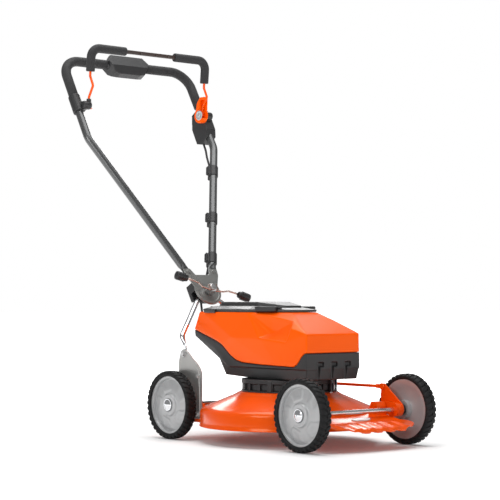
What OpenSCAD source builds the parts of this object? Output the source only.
// Battery rotary mower, walk-behind, mulching deck without a grass box.
// Millimetres. +Z is up, the front of the mower faces -Y and the operator's left is +X.
// The origin is on the ground, under the middle of the whole mower.
// Inside the modules y is measured from the front axle; at_ground() moves it to the origin.

/* [Wheels] */
// Wheel diameter over the tread
wheel_d = 200; // [190:1:204]
// Tyre width
tyre_w = 36; // [30:1:38]
// Distance between the two wheels of an axle, centre to centre
track = 402; // [402:1:410]
// Distance between the two axles
wheelbase = 570; // [566:1:574]
// Diameter of the steel axles
axle_d = 13; // [12:0.5:14]

/* [Deck] */
// Outer radius of the round cutting deck
deck_r = 255; // [250:1:256]
// Blade axis behind the front axle
deck_y = 280; // [278:1:284]
// Height of the deck rim above the ground
rim_z = 46; // [40:1:50]
// Height of the flat top of the deck
deck_top = 146; // [144:1:146]
// Wall thickness of the deck
deck_t = 3; // [2.5:0.5:3]
// Length of the blade, tip to tip
blade_l = 478; // [460:1:480]

/* [Hood] */
// Half the width of the hood's front face
hood_w = 101; // [98:1:104]
// Height of the hood's flat top, under the lid
hood_top = 372.6; // [370:0.1:372.6]
// Underside of the lower cowl
cowl_z = 182; // [181:1:184]
// Wall thickness of the plastic shells
shell_t = 3; // [2.5:0.5:3.5]

/* [Handle] */
// Angle of the handle above the ground
handle_tilt = 60.2; // [58:0.1:62]
// Length of the handle plane, from the lower tube ends to the crossbar
handle_l = 799; // [780:1:810]
// Half the distance between the upper tubes
handle_w = 251; // [245:1:255]
// Diameter of the handle tube
tube_d = 25; // [22:1:26]
// Diameter over the foam grip
foam_d = 31; // [30:1:33]

/* [Hidden] */
$fn = 48;

orange = "#f4640f";
charcoal = "#3b3c3e";
steel = "#b9bcbf";
black = "#202122";

// Whole mower, front to back, for the origin
apron_front = -103;
console_rear = 1106;
mid_y = (apron_front + console_rear) / 2;

// Wheels and cranks
wheel_r = wheel_d / 2;
wheel_x = track / 2;
axle_r = axle_d / 2;
tyre_bore = 84;
bearing_r = 15;
run_gap = 0.05;
crank_y = 38;
crank_z = wheel_r + 8;
pin_r = 9;
ear_y = 57;
ear_z = 163;
rod_x = 157;

// Handle: x across, y up the slope, z out of its upper face, from the lower tube ends
tube_r = tube_d / 2;
handle_y = 681;
handle_z = 475;
bend_v = 497;
tube_foot = 46;
foot_x = 42;
foot_slope = (handle_w - foot_x) / bend_v;
bolt_v = -54;
arch_v = -65;
arch_w = -8;
arch_r = 8;
bail_v = 607;
bail_w = 26;
bail_x = 228;
wire_r = 3.8;
top_v = handle_l;

// Rounded 3-D rods and tubes
function unit(v) = v / norm(v);
function euler(ex, ey, ez) =
    abs(ex[2]) > 0.99999
        ? [atan2(-sign(ex[2]) * ey[0], ey[1]), -90 * sign(ex[2]), 0]
        : [atan2(ey[2], ez[2]), -asin(ex[2]), atan2(ex[1], ex[0])];

module at_ground() {
    translate([0, -mid_y, 0]) children();
}

module at_handle() {
    at_ground() translate([0, handle_y, handle_z]) rotate([handle_tilt, 0, 0]) children();
}

// A shape on the mower's left and its mirror image on the right
module both_sides() {
    for (m = [0, 1]) mirror([m, 0, 0]) children();
}

module right_side() {
    mirror([1, 0, 0]) children();
}

module frame_of(o, ex, ey) {
    translate(o) rotate(euler(ex, ey, cross(ex, ey))) children();
}

module pipe_section(r, wall) {
    difference() {
        circle(r);
        if (wall > 0) circle(r - wall);
    }
}

module rod(p, q, r, wall = 0) {
    d = q - p;
    translate(p)
        rotate([0, acos(d[2] / norm(d)), atan2(d[1], d[0])])
            linear_extrude(norm(d)) pipe_section(r, wall);
}

// A tube of true cylinders and bends, along straight lines in one plane
module bent_tube(pts, bend, r, wall = 0) {
    n = len(pts);
    dir = [for (i = [0:n - 2]) unit(pts[i + 1] - pts[i])];
    turn = [for (i = [1:n - 2]) acos(dir[i - 1] * dir[i])];
    cut = [for (i = [0:n - 1]) i == 0 || i == n - 1 ? 0 : bend * tan(turn[i - 1] / 2)];
    for (i = [0:n - 2])
        rod(pts[i] + dir[i] * cut[i], pts[i + 1] - dir[i] * cut[i + 1], r, wall);
    for (i = [1:n - 2]) {
        side = unit(dir[i] - dir[i - 1] * (dir[i] * dir[i - 1]));
        start = pts[i] - dir[i - 1] * cut[i];
        frame_of(start + side * bend, -side, dir[i - 1])
            rotate_extrude(angle = turn[i - 1]) translate([bend, 0]) pipe_section(r, wall);
    }
}

// Straight lines with an arc of one radius at every inner point
function rounded(pts, bend, steps = 5) =
    let (n = len(pts), dir = [for (i = [0:n - 2]) unit(pts[i + 1] - pts[i])])
    concat(
        [pts[0]],
        [for (i = [1:n - 2])
            let (
                turn = acos(dir[i - 1] * dir[i]),
                side = unit(dir[i] - dir[i - 1] * (dir[i] * dir[i - 1])),
                start = pts[i] - dir[i - 1] * bend * tan(turn / 2)
            )
            for (k = [0:steps])
                start + side * bend * (1 - cos(turn * k / steps))
                    + dir[i - 1] * bend * sin(turn * k / steps)],
        [pts[n - 1]]
    );

function tangent(pts, i) =
    unit(pts[min(i + 1, len(pts) - 1)] - pts[max(i - 1, 0)]);

// One direction across the path at every point, turning as little as it can
function across(pts, i, found) =
    i == len(pts) ? found
        : let (t = tangent(pts, i), last = found[len(found) - 1])
            across(pts, i + 1, concat(found, [unit(last - t * (last * t))]));

// A round rod, or a tube with a wall, swept along any path in space
module swept(pts, r, sides = 12, wall = 0) {
    n = len(pts);
    t0 = tangent(pts, 0);
    first = unit(cross(t0, abs(t0[0]) < 0.9 ? [1, 0, 0] : [0, 1, 0]));
    u = across(pts, 1, [first]);
    function ring(i, radius) = [
        for (k = [0:sides - 1])
            pts[i] + radius * (cos(360 * k / sides) * u[i]
                + sin(360 * k / sides) * cross(tangent(pts, i), u[i]))
    ];
    outer = [for (i = [0:n - 1]) each ring(i, r)];
    inner = wall > 0 ? [for (i = [0:n - 1]) each ring(i, r - wall)] : [];
    m = n * sides;
    function skin(base, flip) = [
        for (i = [0:n - 2]) for (k = [0:sides - 1])
            let (
                a = base + i * sides + k, b = base + i * sides + (k + 1) % sides,
                c = b + sides, d = a + sides
            )
            flip ? [a, b, c, d] : [a, d, c, b]
    ];
    function end_ring(i) = [
        for (k = [0:sides - 1])
            let (a = i * sides + k, b = i * sides + (k + 1) % sides)
            i == 0 ? [a, b, b + m, a + m] : [a, a + m, b + m, b]
    ];
    polyhedron(
        concat(outer, inner),
        wall > 0
            ? concat(skin(0, false), skin(m, true), end_ring(0), end_ring(n - 1))
            : concat(
                skin(0, false),
                [[for (k = [0:sides - 1]) k]],
                [[for (k = [sides - 1:-1:0]) (n - 1) * sides + k]]
            )
    );
}

// A solid through rings of points, each ring with as many points as the last
module loft(rings) {
    n = len(rings[0]);
    m = len(rings);
    polyhedron(
        [for (ring = rings) each ring],
        concat(
            [for (i = [0:m - 2]) for (k = [0:n - 1]) for (half = [0, 1])
                let (a = i * n + k, b = i * n + (k + 1) % n)
                half == 0 ? [a, b + n, b] : [a, a + n, b + n]],
            [[for (k = [0:n - 1]) k]],
            [[for (k = [n - 1:-1:0]) (m - 1) * n + k]]
        )
    );
}

// The smallest convex solid around some points
module convex(pts) {
    hull() polyhedron(pts, [[for (i = [0:len(pts) - 1]) i]]);
}

function mirrored(pts) = concat(pts, [for (p = pts) [-p[0], p[1], p[2]]]);

// A cylinder along X between two x values, at (y, z)
module x_pin(x0, x1, y, z, r) {
    translate([min(x0, x1), y, z]) rotate([0, 90, 0]) cylinder(h = abs(x1 - x0), r = r);
}

// A plate with a (y, z) outline between two x values
module x_plate(x0, x1, outline) {
    translate([x0, 0, 0]) rotate([90, 0, 90]) linear_extrude(x1 - x0) polygon(outline);
}

// ---------------------------------------------------------------- deck

shelf_z = 92;
flange_x = 169.5;

function apron_top(y) = 60 + (y - apron_front - 3) * 0.21;

deck_outside = [
    [0, 0], [257, 0], [257, 4], [deck_r, 7], [deck_r, 44], [250, 51], [152, 93],
    [144, deck_top - rim_z], [0, deck_top - rim_z]
];
deck_inside = [
    [0, -1], [deck_r - deck_t, -1], [deck_r - deck_t, 43], [248, 48.5], [151, 90],
    [142.5, deck_top - rim_z - deck_t], [0, deck_top - rim_z - deck_t]
];

module deck_round(profile) {
    translate([0, deck_y, rim_z]) rotate_extrude() polygon(profile);
}

module apron_plan() {
    half = [[140, 90], [140, -36], [163, -40], [163, -50], [140, -84], [70, apron_front]];
    polygon(concat(half, [for (i = [5:-1:0]) [-half[i][0], half[i][1]]]));
}

module apron() {
    slope = atan(0.21);
    intersection() {
        translate([0, 0, 40]) linear_extrude(80) apron_plan();
        union() {
            translate([-170, apron_front - 3, 57]) rotate([slope, 0, 0]) cube([340, 220, 3]);
            translate([-170, apron_front - 1, 53]) cube([340, 4, 7]);
            for (i = [-2.5:1:2.5])
                translate([i * 44 - 2, apron_front - 3, 57])
                    rotate([slope, 0, 0]) cube([4, 60, 5.5]);
            for (side = [-1, 1])
                translate([side * 161.5 - 1.5, -60, 56]) cube([3, 30, 12]);
        }
    }
}

module rear_shelf() {
    translate([0, 0, shelf_z - 4])
        linear_extrude(4) difference() {
            polygon([
                [-flange_x, 455], [flange_x, 455], [flange_x, 528], [140, 540],
                [140, 626], [-140, 626], [-140, 540], [-flange_x, 528]
            ]);
            // Free holes for a bolted trailing flap
            for (x = [-80, 80]) translate([x, 600]) circle(r = 4.25);
        }
    for (side = [-1, 1]) {
        translate([side > 0 ? flange_x - 3.5 : -flange_x, 456, 52]) cube([3.5, 74, 58]);
        translate([side * 121 - 19, 590, shelf_z - 1]) cube([38, 36, 5]);
    }
    translate([-140, 622.5, 74]) cube([280, 3.5, 16]);
}

module deck_shell() at_ground() color(orange) {
    difference() {
        union() {
            deck_round(deck_outside);
            apron();
            rear_shelf();
            for (side = [-1, 1]) translate([side * 121 - 19, 20, 74]) cube([38, 36, 19]);
        }
        deck_round(deck_inside);
        translate([0, deck_y, deck_top - 10]) cylinder(h = 20, r = 60);
        both_sides() {
            x_pin(160, 175, 482, 76, 4.2);
            x_pin(160, 175, 514, 76, 4.2);
        }
    }
}

module deck_badge() at_ground() color(steel) {
    translate([-27, -26, apron_top(-26) + 0.4]) rotate([atan(0.21), 0, 0]) cube([54, 22, 1.6]);
}

// The four bearing blocks that carry the crank pins
module pivot_block(y) {
    difference() {
        translate([0, y, 0])
            x_plate(104, 139, [[-16, 93], [16, 93], [16, 108], [9, 122], [-9, 122], [-16, 108]]);
        x_pin(100, 145, y, crank_z, pin_r + run_gap);
    }
}

module pivot_blocks() at_ground() color(orange) {
    both_sides() {
        pivot_block(crank_y);
        difference() {
            x_plate(104, 139, [
                for (p = [[-16, 96], [16, 96], [16, 108], [9, 122], [-9, 122], [-16, 108]])
                    [p[0] + wheelbase + crank_y, p[1]]
            ]);
            x_pin(100, 145, wheelbase + crank_y, crank_z, pin_r + run_gap);
        }
    }
}

// ---------------------------------------------------------------- handle support

bolt_low_y = 548;
bolt_low_z = 249;
bracket_outline = [
    [463, 62], [524, 62], [524, 132], [560, 168], [571, 184], [571, 226], [562, 256],
    [546, 265], [530, 257], [505, 236], [484, 222], [470, 208], [463, 192]
];

module handle_bracket() {
    difference() {
        x_plate(170, 173.5, bracket_outline);
        x_pin(165, 180, bolt_low_y, bolt_low_z, 4.2);
        x_pin(165, 180, 482, 76, 4.2);
        x_pin(165, 180, 514, 76, 4.2);
        x_pin(165, 180, 478, 186, 4.2);
    }
}

module handle_bracket_right() at_ground() color(steel) {
    right_side() handle_bracket();
}

module handle_bracket_left() at_ground() color(steel) {
    handle_bracket();
}

module hex_bolt(x_head, y, z, length) {
    translate([x_head, y, z]) rotate([0, 90, 0]) cylinder(h = 4, r = 7, $fn = 6);
    x_pin(x_head - length, x_head, y, z, 4.1);
}

module bracket_bolts() at_ground() color(steel) {
    both_sides() {
        hex_bolt(173.5, 482, 76, 10);
        hex_bolt(173.5, 514, 76, 10);
        hex_bolt(173.5, bolt_low_y, bolt_low_z, 12);
        hex_bolt(173.5, 478, 186, 6);
    }
}

// Chrome tube: up from both brackets and across inside the clamp. Its lower ends are flat.
arch_c = [
    0,
    handle_y + arch_v * cos(handle_tilt) - arch_w * sin(handle_tilt),
    handle_z + arch_v * sin(handle_tilt) + arch_w * cos(handle_tilt)
];
arch_bend = [163, 568, 302];

module support_tube() at_ground() color(steel) {
    top = [30, arch_c[1], arch_c[2]];
    foot = [163, 556, 272];
    swept(rounded([
        foot, arch_bend, top, [-top[0], top[1], top[2]],
        [-arch_bend[0], arch_bend[1], arch_bend[2]], [-foot[0], foot[1], foot[2]]
    ], 14), arch_r, 20, 1.5);
    both_sides() difference() {
        union() {
            x_plate(164, 169.8, [
                [538, 238], [558, 236], [566, 262], [567, 282], [548, 286], [540, 262]
            ]);
            hull() {
                rod([163, 556, 271], [163, 556.2, 272], arch_r);
                x_plate(164, 169.8, [[541, 262], [566, 262], [567, 270], [544, 270]]);
            }
        }
        x_pin(155, 180, bolt_low_y, bolt_low_z, 4.2);
    }
}

// ---------------------------------------------------------------- motor and blade

module at_blade_axis() {
    at_ground() translate([0, deck_y, 0]) children();
}

shaft_r = 8;

module motor_collar() at_blade_axis() color(black) {
    difference() {
        union() {
            translate([0, 0, deck_top]) cylinder(h = 5, r = 133);
            translate([0, 0, deck_top]) cylinder(h = cowl_z - deck_top, r = 128);
            translate([0, 0, cowl_z - 12]) cylinder(h = 12, r = 134);
        }
        translate([0, 0, deck_top + 5]) cylinder(h = cowl_z - deck_top - 9, r = 122);
        translate([0, 0, deck_top + 5]) cylinder(h = 50, r = 92);
        translate([0, 0, deck_top - 1]) cylinder(h = 20, r = 20);
    }
    difference() {
        translate([0, 0, deck_top - 18]) cylinder(h = 23, r = 20);
        translate([0, 0, deck_top - 30]) cylinder(h = 50, r = shaft_r + run_gap);
    }
}

module motor_stator() at_blade_axis() color("#b87333") {
    translate([0, 0, deck_top + 8]) difference() {
        union() {
            cylinder(h = 30, r = 24);
            for (a = [0:30:330]) rotate(a) translate([18, -4, 2]) cube([34, 8, 26]);
            translate([0, 0, 4]) difference() {
                cylinder(h = 22, r = 50);
                translate([0, 0, -1]) cylinder(h = 24, r = 44);
            }
            translate([0, 0, -3]) cylinder(h = 4, r = 24);
        }
        translate([0, 0, -5]) cylinder(h = 40, r = shaft_r + 2);
    }
}

module motor_shaft() at_blade_axis() color(steel) {
    translate([0, 0, 62]) cylinder(h = 134, r = shaft_r);
    translate([0, 0, 53]) cylinder(h = 10, r = 6);
}

module rotor_bell() at_blade_axis() color(charcoal) {
    difference() {
        translate([0, 0, deck_top + 9]) cylinder(h = 39, r = 62);
        translate([0, 0, deck_top + 8]) cylinder(h = 33, r = 54);
        cylinder(h = 250, r = shaft_r);
        for (a = [0:60:300])
            rotate(a) translate([34, 0, deck_top + 30]) cylinder(h = 30, r = 9);
    }
}

module blade_carrier() at_blade_axis() color(charcoal) {
    difference() {
        union() {
            translate([0, 0, 60]) cylinder(h = 5, r = 42);
            translate([0, 0, 60]) cylinder(h = 24, r = 15);
        }
        translate([0, 0, 62]) cylinder(h = 40, r = shaft_r);
        translate([0, 0, 50]) cylinder(h = 20, r = 6);
    }
}

module blade() at_blade_axis() color(steel) {
    difference() {
        union() {
            translate([-blade_l / 2, -24, 56]) cube([blade_l, 48, 4]);
            for (a = [0, 180])
                rotate(a) translate([blade_l / 2 - 92, 18, 57])
                    rotate([38, 0, 0]) cube([92, 20, 3.4]);
        }
        translate([0, 0, 50]) cylinder(h = 20, r = 6);
        for (a = [0, 180])
            rotate(a) translate([blade_l / 2 - 92, -25, 50])
                linear_extrude(12) polygon([[92, 0], [93, 0], [93, 16], [84, 0]]);
    }
}

module blade_bolt() at_blade_axis() color(steel) {
    difference() {
        union() {
            translate([0, 0, 52]) cylinder(h = 4, r = 20);
            translate([0, 0, 45]) cylinder(h = 8, r = 10, $fn = 6);
        }
        translate([0, 0, 53]) cylinder(h = 5, r = 6);
    }
}

// ---------------------------------------------------------------- hood

// Corners of the hood above the split line, left half; y from the front axle
function hood_upper(t) = [
    [hood_w - t, 91 + t, 313 - t * 0.6], [hood_w + 2 - t, 91 + t, 215],
    [80 - t, 168 + t * 0.4, 348 - t], [46 - t * 0.6, 209 + t * 0.5, hood_top - t],
    [104 - t, 337, hood_top - t], [101 - t, 545, hood_top - t], [98 - t, 568 - t, hood_top - t],
    [99 - t, 590 - t, 322], [99 - t, 586 - t, 300 + t], [108 - t, 180, 290],
    [112 - t, 275, 298], [114 - t, 400, 300], [110 - t, 200, 215], [110 - t, 420, 215],
    [109 - t, 482, 266 + t]
];

// Corners of the tub below the split line
function hood_lower(t) = [
    [hood_w - t, 91 + t, 300], [hood_w - t, 91 + t, 220], [96 - t, 96 + t, cowl_z + 3 + t],
    [98 - t, 280, cowl_z + t], [96 - t, 446 - t, 190 + t], [110 - t, 200, 240],
    [111 - t, 400, 246], [108 - t, 478 - t, 262], [108 - t, 470 - t, 300]
];

module hood_solid(t) {
    convex(mirrored(hood_upper(t)));
    convex(mirrored(hood_lower(t)));
}

// Scoop in each side of the hood, its inner crease upright and its floor sloping out
module side_scoop(t) {
    both_sides()
        convex([
            [92 - t, 256, 364 - t], [86 - t, 244, 320 - t], [118, 335 + t, 366],
            [118, 160 - t, 346], [118, 172 - t, 297 - t], [118, 278 + t, 297 - t],
            [108 - t, 276 + t, 300 - t], [104 - t, 176 - t, 300 - t], [103 - t, 330, 366 - t],
            [84 - t, 168, 346 - t]
        ]);
}

module above_split(gap) {
    translate([-150, 0, 0]) rotate([90, 0, 90]) linear_extrude(300)
        polygon([
            [60, 262 + gap], [98, 260 + gap], [109, 252 + gap], [128, 228 + gap],
            [141, 221 + gap], [274, 224 + gap], [355, 228 + gap], [383, 234 + gap],
            [408, 247 + gap], [445, 275 + gap], [474, 287 + gap], [590, 319 + gap],
            [620, 327 + gap], [620, 420], [60, 420]
        ]);
}

module cover_opening() {
    translate([-74, 300, hood_top - 20]) cube([148, 162, 40]);
}

lid_y = 545;
lid_z = 379;

module top_cover() at_ground() color(orange) {
    difference() {
        union() {
            difference() {
                hood_solid(0);
                side_scoop(0);
                difference() {
                    hood_solid(shell_t);
                    side_scoop(shell_t);
                }
                cover_opening();
            }
            both_sides()
                x_plate(58, 64, [[538, 366], [552, 366], [551, 382], [547, 385], [543, 385], [539, 382]]);
        }
        difference() {
            translate([-160, 40, 150]) cube([320, 600, 300]);
            above_split(0.2);
        }
        both_sides() x_pin(50, 75, lid_y, lid_z, 3 + run_gap);
    }
}

module lower_cowl() at_ground() color(charcoal) {
    difference() {
        hood_solid(0);
        hood_solid(shell_t);
        above_split(0);
        translate([0, deck_y, cowl_z - 10]) cylinder(h = 30, r = 92);
        for (x = [-47, 5, 57]) {
            translate([x - 11, 88, 196]) cube([22, 5.5, 38]);
            translate([x - 11, 80, 180]) cube([9, 13, 30]);
        }
    }
}

module battery_well() at_ground() color(black) {
    difference() {
        translate([-70, 284, 236]) cube([140, 176, 128]);
        translate([-66, 288, 240]) cube([132, 168, 140]);
    }
    translate([-30, 286, 239]) cube([60, 25, 34]);
}

module battery_pack() at_ground() color(charcoal) {
    difference() {
        union() {
            translate([-62, 312, 240]) cube([124, 140, 118]);
            translate([-46, 322, 358]) cube([92, 120, 8]);
        }
        translate([-30, 365, 350]) cube([60, 34, 20]);
    }
}

module controller_box() at_ground() color(steel) {
    difference() {
        translate([-58, 116, 224]) cube([116, 150, 62]);
        for (i = [-4:4]) translate([i * 12 - 4, 110, 268]) cube([8, 170, 30]);
    }
}

module cover_screws() at_ground() color(steel) {
    both_sides() {
        translate([78, 130, 246]) cylinder(h = 24, r = 2.5);
        translate([88, 440, 286]) cylinder(h = 24, r = 2.5);
    }
}

// ---------------------------------------------------------------- lid

function lid_corners(t) = mirrored([
    [47 - t, 210 + t, 373.2 - t * 2], [103 - t, 336 + t, 373.2 - t * 2],
    [101 - t, 528, 373.2 - t * 2], [99 - t, 549 - t, 376.5 - t * 2], [47 - t, 210 + t, 380], [103 - t, 336 + t, 381],
    [99 - t, 549 - t, 381], [30 - t, 258, 398 - t], [62 - t, 345, 406 - t],
    [62 - t, 505, 404 - t], [50 - t, 532 - t, 397 - t]
]);

module battery_lid() at_ground() color(charcoal) {
    difference() {
        convex(lid_corners(0));
        convex(lid_corners(shell_t));
        both_sides() translate([55, 530, 360]) cube([11, 30, 27]);
    }
    both_sides() {
        convex([
            for (z = [373.2, 390])
                for (p = [[49, 212], [98, 322], [92, 327], [42, 219], [54, 209], [103, 319]])
                    [p[0], p[1], z > 380 && p[0] > 50 ? 386 : z]
        ]);
        translate([103, 484, 369.5]) cube([5, 50, 11]);
        translate([99, 486, 374]) cube([6, 46, 5]);
        x_plate(67, 71, [[535, 375], [549, 375], [548, 384], [535, 389]]);
        x_pin(57, 69, lid_y, lid_z, 3);
    }
}

// ---------------------------------------------------------------- cranks, axles, link rod

module axle() {
    x_pin(-wheel_x - 13, wheel_x + 13, 0, wheel_r, axle_r);
}

module front_axle() at_ground() color(steel) {
    axle();
}

module rear_axle() at_ground() color(steel) {
    translate([0, wheelbase, 0]) axle();
}

// One crank: an arm clamped on the axle, a pin in the pivot block and an ear for the link rod
module crank() {
    difference() {
        union() {
            hull() {
                x_pin(143, 168, 0, wheel_r, 20);
                x_pin(143, 168, crank_y, crank_z, 14);
            }
            hull() {
                x_pin(162, 167, -2, wheel_r + 4, 18);
                x_pin(162, 167, crank_y + 14, wheel_r + 6, 14);
                x_pin(162, 167, ear_y, ear_z, 8);
            }
            x_pin(100, 145, crank_y, crank_z, pin_r);
            x_pin(168, 176, 0, wheel_r, 14);
        }
        x_pin(140, 180, 0, wheel_r, axle_r);
        x_pin(160, 170, ear_y, ear_z, 4 + run_gap);
    }
}

module front_crank_right() at_ground() color(orange) {
    right_side() crank();
}

module front_crank_left() at_ground() color(orange) {
    crank();
}

module rear_crank_right() at_ground() color(orange) {
    translate([0, wheelbase, 0]) right_side() crank();
}

module rear_crank_left() at_ground() color(orange) {
    translate([0, wheelbase, 0]) crank();
}

// Domed chrome caps on the axle ends
module hub_caps() {
    both_sides()
        translate([wheel_x + 13, 0, wheel_r]) rotate([0, 90, 0]) {
            cylinder(h = 2.5, r = 17);
            translate([0, 0, 2]) intersection() {
                translate([0, 0, -26]) sphere(30.8);
                cylinder(h = 10, r = 16.5);
            }
        }
}

module front_hub_caps() at_ground() color(steel) {
    hub_caps();
}

module rear_hub_caps() at_ground() color(steel) {
    translate([0, wheelbase, 0]) hub_caps();
}

module height_lever() at_ground() color(charcoal) {
    translate([0, wheelbase, 0]) {
        x_plate(146, 152, [
            [crank_y - 11, 121], [crank_y + 11, 121], [crank_y + 12, 236], [crank_y - 4, 236]
        ]);
        hull() {
            translate([149, crank_y + 4, 232]) sphere(11);
            translate([149, crank_y + 6, 262]) sphere(13);
        }
    }
}

module link_rod() at_ground() color(orange) {
    rod([rod_x, ear_y + 16, ear_z], [rod_x, ear_y + wheelbase - 16, ear_z], 4.5);
    for (y = [ear_y, ear_y + wheelbase])
        difference() {
            union() {
                x_pin(rod_x - 2.5, rod_x + 2.5, y, ear_z, 9);
                translate([rod_x - 2.5, y == ear_y ? y : y - 22, ear_z - 6]) cube([5, 22, 12]);
            }
            if (y > ear_y) x_pin(rod_x - 5, rod_x + 5, y, ear_z, 4.2);
        }
    x_pin(rod_x, 170, ear_y, ear_z, 4);
    x_pin(167.6, 170, ear_y, ear_z, 7);
}

// ---------------------------------------------------------------- wheels

module at_wheel(front, left) {
    at_ground() translate([0, front ? 0 : wheelbase, wheel_r])
        mirror([left ? 0 : 1, 0, 0]) translate([wheel_x, 0, 0]) rotate([0, 90, 0]) children();
}

module tyre() color(black) {
    h = tyre_w / 2;
    rotate_extrude() polygon([
        [tyre_bore, -h + 3], [tyre_bore + 5, -h], [wheel_r - 7, -h], [wheel_r - 2, -h + 4],
        [wheel_r, -h + 10], [wheel_r, h - 10], [wheel_r - 2, h - 4], [wheel_r - 7, h],
        [tyre_bore + 5, h], [tyre_bore, h - 3]
    ]);
}

// Dished plastic rim: the outer face is at +z
module rim() color("#a9acae") {
    rotate_extrude() polygon([
        [bearing_r, -20], [24, -20], [26, -6], [66, -2], [76, -13], [tyre_bore, -14],
        [tyre_bore, 14], [77, 14], [73, 5], [34, 8], [32, 12], [18, 12], [bearing_r, 11]
    ]);
}

module bearing() color(steel) {
    difference() {
        translate([0, 0, -19]) cylinder(h = 29, r = bearing_r);
        translate([0, 0, -20]) cylinder(h = 40, r = axle_r + run_gap);
    }
}

module front_right_tyre() at_wheel(true, false) tyre();
module front_left_tyre() at_wheel(true, true) tyre();
module rear_right_tyre() at_wheel(false, false) tyre();
module rear_left_tyre() at_wheel(false, true) tyre();
module front_right_rim() at_wheel(true, false) rim();
module front_left_rim() at_wheel(true, true) rim();
module rear_right_rim() at_wheel(false, false) rim();
module rear_left_rim() at_wheel(false, true) rim();
module front_right_bearing() at_wheel(true, false) bearing();
module front_left_bearing() at_wheel(true, true) bearing();
module rear_right_bearing() at_wheel(false, false) bearing();
module rear_left_bearing() at_wheel(false, true) bearing();

// ---------------------------------------------------------------- handle foot

// Black clamp that grips the chrome tube and carries the swing bolt
module handle_clamp() at_handle() color(black) {
    difference() {
        union() {
            translate([-45, -70, -31]) cube([90, 53, 13]);
            translate([-45, -46, -18.5]) cube([90, 29, 22.5]);
            translate([-20, -81, -18.5]) cube([40, 36, 22.5]);
            translate([-5, -58, -47]) cube([16, 20, 17]);
        }
        x_pin(-30, 30, arch_v, arch_w, arch_r + run_gap);
        translate([0, bolt_v + 15, -35]) cylinder(h = 20, r = 4);
        for (x = [-34, 34]) translate([x, -60, -32]) cylinder(h = 4, r = 6);
    }
}

// The bolt that the plate turns on. It stands on the clamp, over the tube.
module swing_bolt() at_handle() color(steel) {
    translate([0, bolt_v, 3]) cylinder(h = 7.4, r = 12);
    translate([0, bolt_v, 10]) cylinder(h = 26, r = 6);
}

function foot_at(v) = [foot_x + foot_slope * v, v, 0];
foot_across = unit([1, -foot_slope, 0]);

// The flattened foot, from a round plug inside the tube's end to a flat tongue on the plate
module handle_foot() {
    sections = [[60, 10.8, 10.8, 0], [46.2, 10.8, 10.8, 0], [29, 15, 2.5, 2], [8, 13, 2.5, 2]];
    loft([
        for (s = sections)
            [for (k = [0:23])
                foot_at(s[0]) + s[1] * cos(k * 15) * foot_across + [0, 0, s[3] + s[2] * sin(k * 15)]]
    ]);
}

module handle_tube() at_handle() color(charcoal) {
    left = [foot_at(tube_foot), [handle_w, bend_v, 0]];
    bent_tube([
        left[0], left[1], [handle_w, top_v, 0], [-handle_w, top_v, 0],
        [-left[1][0], left[1][1], 0], [-left[0][0], left[0][1], 0]
    ], 65, tube_r, 1.6);
    both_sides() handle_foot();
}

module swing_plate() at_handle() color("#8f9290") {
    difference() {
        translate([0, 0, 4.6]) linear_extrude(4) difference() {
            union() {
                translate([0, bolt_v + 4]) circle(48);
                polygon([
                    [-66, 27], [-40, 28], [-26, 6], [26, 6], [40, 28], [66, 27], [63, 4],
                    [42, -40], [-42, -40], [-63, 4]
                ]);
            }
            translate([0, bolt_v]) circle(12 + run_gap);
        }
    }
    translate([0, bolt_v + 4, 8.6]) difference() {
        cylinder(h = 4, r = 46.5);
        translate([0, 0, -1]) cylinder(h = 6, r = 40);
        translate([-60, -6, -1]) cube([120, 60, 6]);
    }
    both_sides() translate([49, 18, 8]) cylinder(h = 4, r = 6, $fn = 6);
}

// ---------------------------------------------------------------- handle top

clamp_v0 = 597;
clamp_v1 = 657;

module foam_grip() at_handle() color(charcoal) {
    for (side = [-1, 1])
        bent_tube([
            [side * handle_w, clamp_v1 + 1, 0], [side * handle_w, top_v, 0],
            [side * 81, top_v, 0]
        ], 65, foam_d / 2, (foam_d - tube_d) / 2);
}

console_profile = [
    [-38, -12], [-40, 10], [-14, 24], [26, 22], [36, 6], [14, -24], [-22, -24]
];
console_plan = [
    [-80, 2], [-58, 34], [-30, 38], [30, 38], [58, 34], [80, 2], [60, -34], [40, -38],
    [-40, -38], [-60, -34]
];
button_a = atan2(36 - 14, 6 + 24);

module console_solid(t) {
    intersection() {
        translate([-80 + t, 0, 0]) rotate([90, 0, 90]) linear_extrude(160 - 2 * t)
            offset(delta = -t) polygon(console_profile);
        translate([0, 0, -30]) linear_extrude(60) offset(delta = -t) polygon(console_plan);
    }
}

module at_button() {
    translate([0, 25, -9]) rotate([-90 - button_a, 0, 0]) children();
}

module grip_console() at_handle() color(charcoal) {
    translate([0, top_v, 0]) difference() {
        console_solid(0);
        difference() {
            console_solid(2.5);
            x_pin(-90, 90, 0, 0, 16);
        }
        x_pin(-90, 90, 0, 0, tube_r);
        at_button() translate([0, 0, -8]) cylinder(h = 16, r = 8.3);
    }
}

module power_button() at_handle() color(orange) {
    translate([0, top_v, 0]) at_button() translate([0, 0, -5]) cylinder(h = 7.5, r = 8);
}

// Sleeve on the right tube, with a boss for the end of the bail wire
module bail_clamp() at_handle() color(charcoal) {
    difference() {
        union() {
            translate([-handle_w, clamp_v0, 0]) rotate([-90, 0, 0])
                cylinder(h = clamp_v1 - clamp_v0, r = 18.5);
            hull() {
                x_pin(-247, -233, bail_v, bail_w, 12);
                translate([-247, bail_v - 8, 0]) cube([14, 34, 10]);
            }
        }
        translate([-handle_w, clamp_v0 - 5, 0]) rotate([-90, 0, 0]) cylinder(h = 80, r = tube_r);
        x_pin(-250, -230, bail_v, bail_w, wire_r + run_gap);
    }
}

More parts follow.
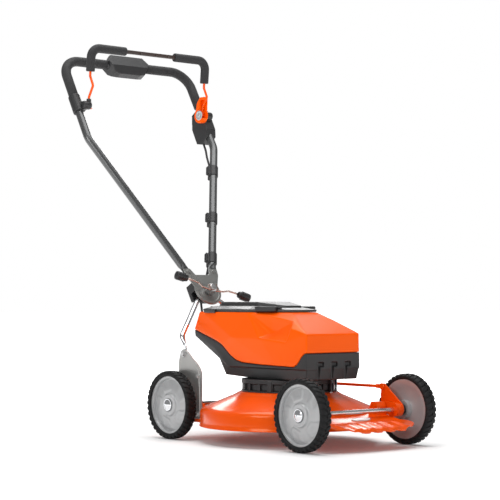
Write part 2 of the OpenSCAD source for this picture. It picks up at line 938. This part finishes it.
module switch_box() at_handle() color(charcoal) {
    difference() {
        union() {
            x_plate(233, 269.5, [
                [530, -30], [545, -50], [600, -48], [642, -26], [646, 14], [620, 22],
                [560, 20], [536, 8]
            ]);
            x_pin(233, 262, bail_v, bail_w, 14);
        }
        translate([handle_w, 500, 0]) rotate([-90, 0, 0]) cylinder(h = 200, r = tube_r);
        x_pin(230, 250, bail_v, bail_w, wire_r + run_gap);
        x_plate(238, 265, [[552, -44], [598, -42], [630, -24], [630, -17], [545, -17]]);
    }
}

// ---------------------------------------------------------------- cable

clip_v = [400, 218, 68];
cable_r = 3.5;
cable_w = -tube_r - cable_r - 0.8;
cable_route = [
    [243, 530, -30], [243, 508, -31], [236, 480, -30], [224, 445, -21],
    [foot_at(415)[0], 415, cable_w], [foot_at(66)[0], 66, cable_w], [48, 22, -26],
    [16, -20, -39], [3.8, -35.2, -41]
];

module cable_clips() at_handle() color(black) {
    for (v = clip_v) {
        a = atan(foot_slope);
        translate(foot_at(v)) rotate([-90, 0, -a]) translate([0, 0, -20]) difference() {
            union() {
                cylinder(h = 40, r = tube_r + 2.5);
                translate([-7, 8, 0]) cube([14, 16, 40]);
                translate([-23, -2, 4]) cube([12, 12, 32]);
            }
            translate([0, 0, -1]) cylinder(h = 42, r = tube_r);
            translate([0, -cable_w, -1]) cylinder(h = 42, r = cable_r);
        }
    }
}

module control_cable() at_handle() color(black) {
    swept(rounded(cable_route, 9, 3), cable_r, 8);
}

// Slack of the cable, from the clamp's guide down to the back of the hood
tail_route = [
    [3, 687, 402.5], [3, 681, 372], [3, 666, 338], [1, 634, 322], [0, 598, 322]
];

module cable_tail() at_ground() color(black) {
    swept(rounded(tail_route, 12, 4), cable_r, 8);
    translate([0, 598, 322]) rotate([90, 0, 0]) cylinder(h = 12, r = 7);
}

// ---------------------------------------------------------------- clamp lever

lever_w = 33;
lever_pts = [
    [-92, 34], [-69, 27], [-47, 18], [-38, 4], [0, -10], [38, -14], [57, -12], [78, -18], [98, -26]
];

module at_swing_bolt() {
    at_handle() translate([0, bolt_v, 0]) children();
}

module clamp_lever() at_swing_bolt() color(steel) {
    swept(rounded([for (p = lever_pts) [p[0], p[1], lever_w]], 5, 3), 3, 10);
    difference() {
        union() {
            translate([0, 0, 13]) cylinder(h = 25, r = 15, $fn = 6);
            translate([0, 0, 38]) cylinder(h = 3, r = 11);
        }
        cylinder(h = 60, r = 6 + run_gap);
    }
}

module clamp_knobs() at_swing_bolt() color(black) {
    for (e = [[lever_pts[0], lever_pts[1]], [lever_pts[8], lever_pts[7]]]) {
        d = unit(e[0] - e[1]);
        translate([e[0][0], e[0][1], lever_w]) rotate([0, 90, atan2(d[1], d[0])])
            difference() {
                union() {
                    translate([0, 0, -6]) cylinder(h = 18, r1 = 8, r2 = 13);
                    translate([0, 0, 12]) cylinder(h = 22, r = 13);
                }
                translate([0, 0, -7]) cylinder(h = 7, r = 3);
            }
    }
}

// ---------------------------------------------------------------- bail

// Around the pivot: y is back and z is up, along the leaning bail
bail_py = handle_y + bail_v * cos(handle_tilt) - bail_w * sin(handle_tilt);
bail_pz = handle_z + bail_v * sin(handle_tilt) + bail_w * cos(handle_tilt);
bail_lean = 5.1;
bail_h = 180;
grip_r = 14;
hub_x = 232.4;

module at_bail() {
    at_ground() translate([0, bail_py, bail_pz]) rotate([bail_lean, 0, 0]) children();
}

// One leg of the wire, with its forward kink, from the pivot up
function leg(side) = [
    [side * bail_x, 0, -2], [side * bail_x, 0, 26], [side * bail_x, -19, 62],
    [side * bail_x, 0, 92], [side * bail_x, 0, bail_h]
];

module bail_wire() at_bail() color(orange) {
    l = leg(-1);
    r = leg(1);
    swept(rounded([l[0], l[1], l[2], l[3], l[4], r[4], r[3], r[2], r[1], r[0]], 9, 4), wire_r, 12);
    both_sides() x_pin(bail_x - 2, 245, 0, 0, wire_r);
}

module bail_grips() at_bail() color(charcoal) {
    for (side = [-1, 1])
        bent_tube([
            [side * bail_x, 0, 106], [side * bail_x, 0, bail_h], [side * 98, 0, bail_h]
        ], 30, grip_r, grip_r - wire_r);
}

// Orange lever over the switch, and the dark hub of the other leg
module start_lever() at_bail() color(orange) {
    difference() {
        union() {
            x_pin(214, hub_x, 0, 0, 25);
            x_plate(216, hub_x, [[-20, 10], [-18, 62], [4, 60], [18, 40], [22, 6]]);
            x_pin(-hub_x, -218, 0, 0, 12);
        }
        both_sides() {
            x_pin(200, 240, 0, 0, wire_r);
            translate([214, -25, -wire_r - 4]) cube([18, 30, 60]);
        }
    }
}

deck_shell();
deck_badge();
pivot_blocks();
handle_bracket_right();
handle_bracket_left();
bracket_bolts();
support_tube();
motor_collar();
motor_stator();
lower_cowl();
top_cover();
battery_well();
battery_pack();
controller_box();
cover_screws();
cable_tail();
front_axle();
front_crank_right();
front_crank_left();
front_hub_caps();
rear_axle();
rear_crank_right();
rear_crank_left();
rear_hub_caps();
height_lever();
link_rod();
front_right_tyre();
front_right_rim();
front_right_bearing();
front_left_tyre();
front_left_rim();
front_left_bearing();
rear_right_tyre();
rear_right_rim();
rear_right_bearing();
rear_left_tyre();
rear_left_rim();
rear_left_bearing();
motor_shaft();
rotor_bell();
blade_carrier();
blade();
blade_bolt();
battery_lid();
handle_clamp();
swing_bolt();
handle_tube();
swing_plate();
foam_grip();
grip_console();
bail_clamp();
switch_box();
cable_clips();
control_cable();
clamp_lever();
clamp_knobs();
bail_wire();
bail_grips();
start_lever();
power_button();
